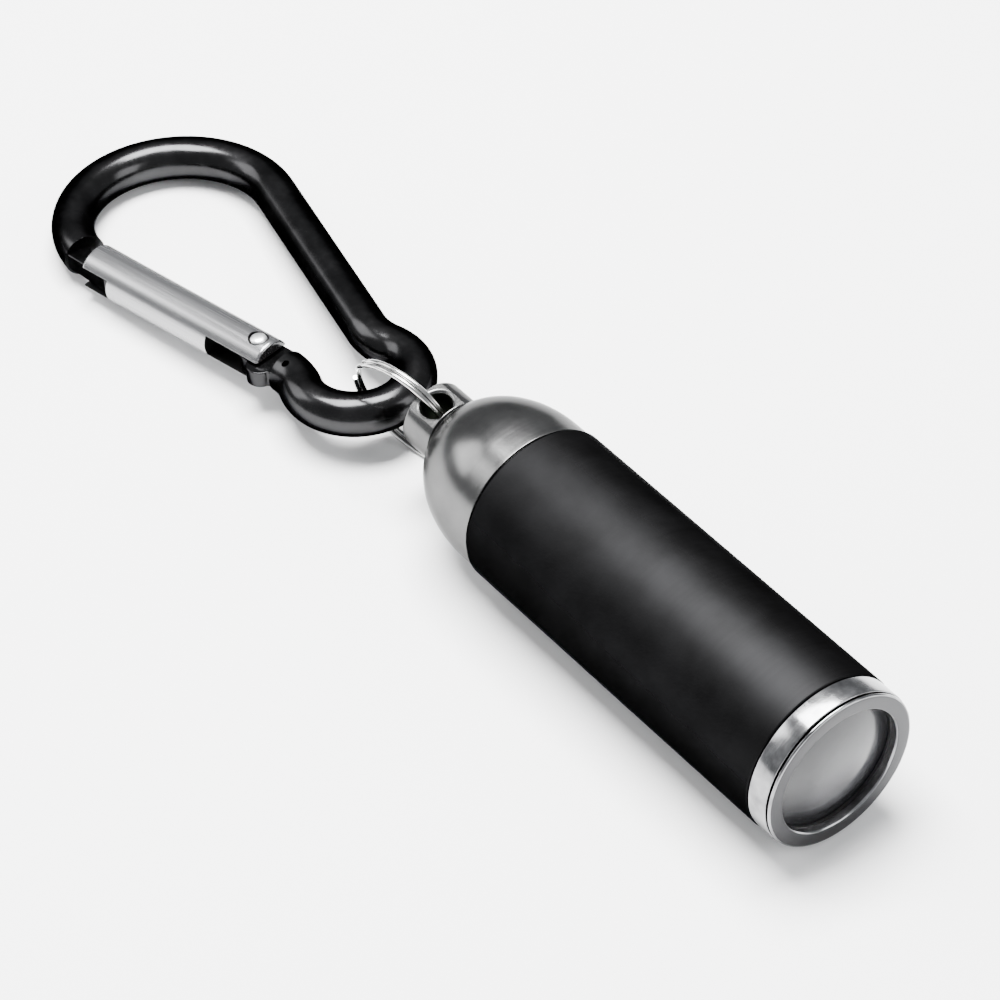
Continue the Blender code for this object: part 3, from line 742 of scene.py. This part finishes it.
# ---- the split ring -------------------------------------------------------------------------
def build_split_ring():
    reach = LUG_HOLE_RADIUS - RING_WIRE - 0.075
    centre_x = reach - RING_RADIUS
    cross_half = math.radians(15)
    cross_at = math.radians(150)
    count = 360
    points = []
    for i in range(count + 1):
        travel = cross_half + (2 * math.tau - 2 * cross_half) * i / count
        share = min(max((travel - math.tau + cross_half) / (2 * cross_half), 0.0), 1.0)
        side = (3 * share ** 2 - 2 * share ** 3 - 0.5) * RING_PITCH
        angle = cross_at + travel
        points.append((centre_x + RING_RADIUS * math.cos(angle), side,
                       RING_RADIUS * math.sin(angle) - RING_DROP))
    item = make("ring_wire", sweep(points, RING_WIRE, 24), RING)
    dress(item, ring_steel, "ring", "bright_steel", "split_ring")


# ---- the carabiner --------------------------------------------------------------------------
def carabiner_path():
    """Centre line of the bent rod, nose first, from the tip of the narrow end."""
    small = Vector((-SMALL_RADIUS, 0.0))
    big = Vector((-SMALL_RADIUS - CENTRES, 0.0))
    normal = Vector((math.sin(TAPER), math.cos(TAPER)))
    along = Vector((math.cos(TAPER), -math.sin(TAPER)))
    tangent = big + normal * BIG_RADIUS
    offset = tangent + normal * FILLET - small
    half = offset.dot(along)
    run = -half - math.sqrt(half ** 2 - offset.length_squared + (FILLET + SMALL_RADIUS) ** 2)
    bend = tangent + normal * FILLET + along * run
    to_small = small - bend
    touch = math.atan2(to_small.y, to_small.x)
    leave = math.atan2(-normal.y, -normal.x)
    upper = arc(bend, FILLET, leave, touch, 24)
    tip_start = touch + math.pi
    path = arc(big, BIG_RADIUS, NOSE_ANGLE, math.pi / 2 - TAPER, 96)
    end = Vector(upper[0])
    start = Vector(path[-1])
    spans = 18
    path += [tuple(start.lerp(end, i / spans)) for i in range(1, spans)]
    path += upper
    path += arc(small, SMALL_RADIUS, tip_start, -tip_start, 64)[1:-1]
    pivot_x = -7.7 - SMALL_RADIUS
    pivot_y = -BIG_RADIUS / math.cos(TAPER) + (pivot_x - big.x) * math.tan(TAPER)
    bend_start = Vector((upper[0][0] - pivot_x, -upper[0][1] - pivot_y))
    from_pivot = bend_start.dot(Vector((math.cos(TAPER), math.sin(TAPER))))
    lower = arc(bend, FILLET, leave + math.asin((SHOULDER - from_pivot) / FILLET), touch, 20)
    path += [(x, -y) for x, y in reversed(lower)]
    return path


def build_carabiner():
    path = [(x, y, 0.0) for x, y in carabiner_path()]
    item = make("carabiner_rod", sweep(path, ROD_RADIUS, 56), ROD)
    heel = [(5.4, -1.3), (5.4, 1.2), (3.0, 1.75), (0.6, 1.75), (-1.5, 0.95), (-1.5, -0.95), (-0.4, -1.9)]
    heel += arc((1.5, -1.45), 1.3, math.radians(200), math.radians(340), 24)
    nose = [(-23.6, -1.2), (-21.0, -1.3), (-17.7, -1.7), (-17.5, -1.5), (-17.5, 0.25), (-17.7, 0.45),
            (-21.0, 0.45), (-23.6, 0.9)]
    heel_tongue = make("heel", slab(soften(heel, 0.3), -TONGUE_HALF, TONGUE_HALF, 0.1), GATE)
    nose_tongue = make("nose", slab(soften(nose, 0.25), -TONGUE_HALF, TONGUE_HALF, 0.1), GATE)
    combine(item, [heel_tongue, nose_tongue], "UNION")
    jig = [(0.0, 3.0), (0.35, 3.0), (0.35, 0.6), (0.0, 0.6)]
    holes = [make("pin_hole", revolve(PIN_HOLE, closed=False, steps=48), GATE @ UPRIGHT),
             make("jig_hole", revolve(jig, closed=False, steps=32),
                  GATE @ Matrix.Translation((4.1, -0.9, 0.0)) @ UPRIGHT)]
    combine(item, holes, "DIFFERENCE")
    even_normals(item, 0.09)
    dress(item, gloss_black, "carabiner", "gloss_black", "carabiner_frame")


def build_gate():
    outline = [(0.0, GATE_HEEL), (GATE_RADIUS, GATE_HEEL), (GATE_RADIUS, -GATE_NOSE), (0.0, -GATE_NOSE)]
    outline = soften(outline, 0.3, closed=False)
    item = make("gate_sleeve", revolve(outline, closed=False, steps=96), GATE)
    bore = [(0.0, -3.7), (0.85, -3.7), (0.85, -9.6), (0.0, -9.6)]
    cutters = [
        make("nose_slot", block((-GATE_NOSE - 1, -3.0, -SLOT_HALF), (NOSE_SLOT_START, 0.65, SLOT_HALF)),
             GATE),
        make("heel_slot", block((HEEL_SLOT_END, -3.0, -SLOT_HALF), (GATE_HEEL + 1, 3.0, SLOT_HALF)),
             GATE),
        make("spring_bore", revolve(bore, closed=False, steps=48), GATE),
        make("pin_hole", revolve(PIN_HOLE, closed=False, steps=48), GATE @ UPRIGHT),
    ]
    for side in (1, -1):
        low, high = sorted((side * 1.8, side * 3.0))
        sink = [(0.0, high), (0.9, high), (0.9, low), (0.0, low)]
        cutters.append(make("sink", revolve(sink, closed=False, steps=48), GATE @ UPRIGHT))
    combine(item, cutters, "DIFFERENCE")
    even_normals(item, 0.07)
    dress(item, satin, "gate", "satin_aluminium", "gate")

    head = 0.78
    under_head = 1.86
    half = [(0.0, 2.25), (0.3, 2.23), (0.55, 2.17), (0.72, 2.06), (head, 1.95), (head, under_head),
            (0.52, under_head)]
    profile = half + [(radius, -x) for radius, x in reversed(half)]
    rivet = make("gate_rivet", revolve(profile, closed=False, steps=64), GATE @ UPRIGHT, sharp=60.0)
    dress(rivet, rivet_steel, "gate", "satin_aluminium", "gate_pivot_pin")

    # The plunger's tail is thin enough to slide into the coil behind it.
    tail = 0.4
    body = 0.72
    plunger = [(0.0, -1.7), (tail, -1.7), (body, -2.0), (body, -5.45), (tail, -5.45), (tail, -6.0),
               (0.0, -6.0)]
    plunger = soften(plunger, 0.1, closed=False)
    item = make("gate_push_pin", revolve(plunger, closed=False, steps=48), GATE)
    dress(item, spring_steel, "plunger", "spring_steel", "gate_plunger")
    item = make("gate_coil", sweep(coil(0.56, 0.56, -6.2, -9.35, 5.0), 0.11, 12), GATE)
    dress(item, spring_steel, "gate", "spring_steel", "gate_spring")


# ---- the set: floor, lights, camera ---------------------------------------------------------
def build_floor():
    half = 2.0
    mesh = bpy.data.meshes.new("floor")
    corners = [(-half, -half, 0.0), (half, -half, 0.0), (half, half, 0.0), (-half, half, 0.0)]
    mesh.from_pydata(corners, [], [(0, 1, 2, 3)])
    floor = bpy.data.objects.new("floor", mesh)
    floor.location.z = cad_low.z - 0.00003
    bpy.context.scene.collection.objects.link(floor)
    material, tree, shader = new_material("pale_floor", {"Roughness": 0.6})
    cloud = noise(tree, own_coordinates(tree), 0.01, 3.0)
    pale = tinted(tree, cloud, (0.86, 0.86, 0.86), (0.89, 0.89, 0.89))
    tree.links.new(pale, shader.inputs["Base Color"])
    mesh.materials.append(material)


def softbox(name, place, target, width, height, power):
    light = bpy.data.lights.new(name, "AREA")
    light.shape = "RECTANGLE"
    light.size = width
    light.size_y = height
    light.energy = power
    item = bpy.data.objects.new(name, light)
    item.location = place
    item.rotation_euler = (Vector(target) - Vector(place)).to_track_quat("-Z", "Y").to_euler()
    bpy.context.scene.collection.objects.link(item)


def build_lights():
    softbox("overhead", (-0.09, 0.02, 0.42), (0.0, 0.0, 0.0), 0.34, 0.20, 13.5)
    softbox("left_fill", (-0.5, -0.35, 0.35), (0.0, 0.0, 0.0), 0.35, 0.35, 3.0)
    softbox("right_fill", (0.5, 0.3, 0.3), (0.0, 0.0, 0.0), 0.35, 0.35, 2.5)
    world = bpy.data.worlds.new("studio")
    world.use_nodes = True
    background = world.node_tree.nodes["Background"]
    background.inputs["Color"].default_value = (0.9, 0.92, 0.95, 1.0)
    background.inputs["Strength"].default_value = 0.7
    bpy.context.scene.world = world


def build_camera():
    """Azimuth 0 looks along +Y; the camera aims near the sleeve's rear edge."""
    azimuth = math.radians(52.22)
    elevation = math.radians(43.2)
    distance = 0.3678
    aim = AXIS + Vector((-0.00241, -0.00203, 0.0))
    back = Vector((math.sin(azimuth) * math.cos(elevation), -math.cos(azimuth) * math.cos(elevation),
                   math.sin(elevation)))
    data = bpy.data.cameras.new("camera")
    data.sensor_width = 36.0
    data.lens = 158.4
    data.clip_start = 0.01
    data.clip_end = 20.0
    camera = bpy.data.objects.new("camera", data)
    camera.location = aim + back * distance
    camera.rotation_mode = "QUATERNION"
    camera.rotation_quaternion = (-back).to_track_quat("-Z", "Y")
    bpy.context.scene.collection.objects.link(camera)
    bpy.context.scene.camera = camera


build_camera()
build_sleeve()
build_bezel()
build_lens()
build_barrel()
build_tail()
build_split_ring()
build_carabiner()
build_gate()
build_floor()
build_lights()
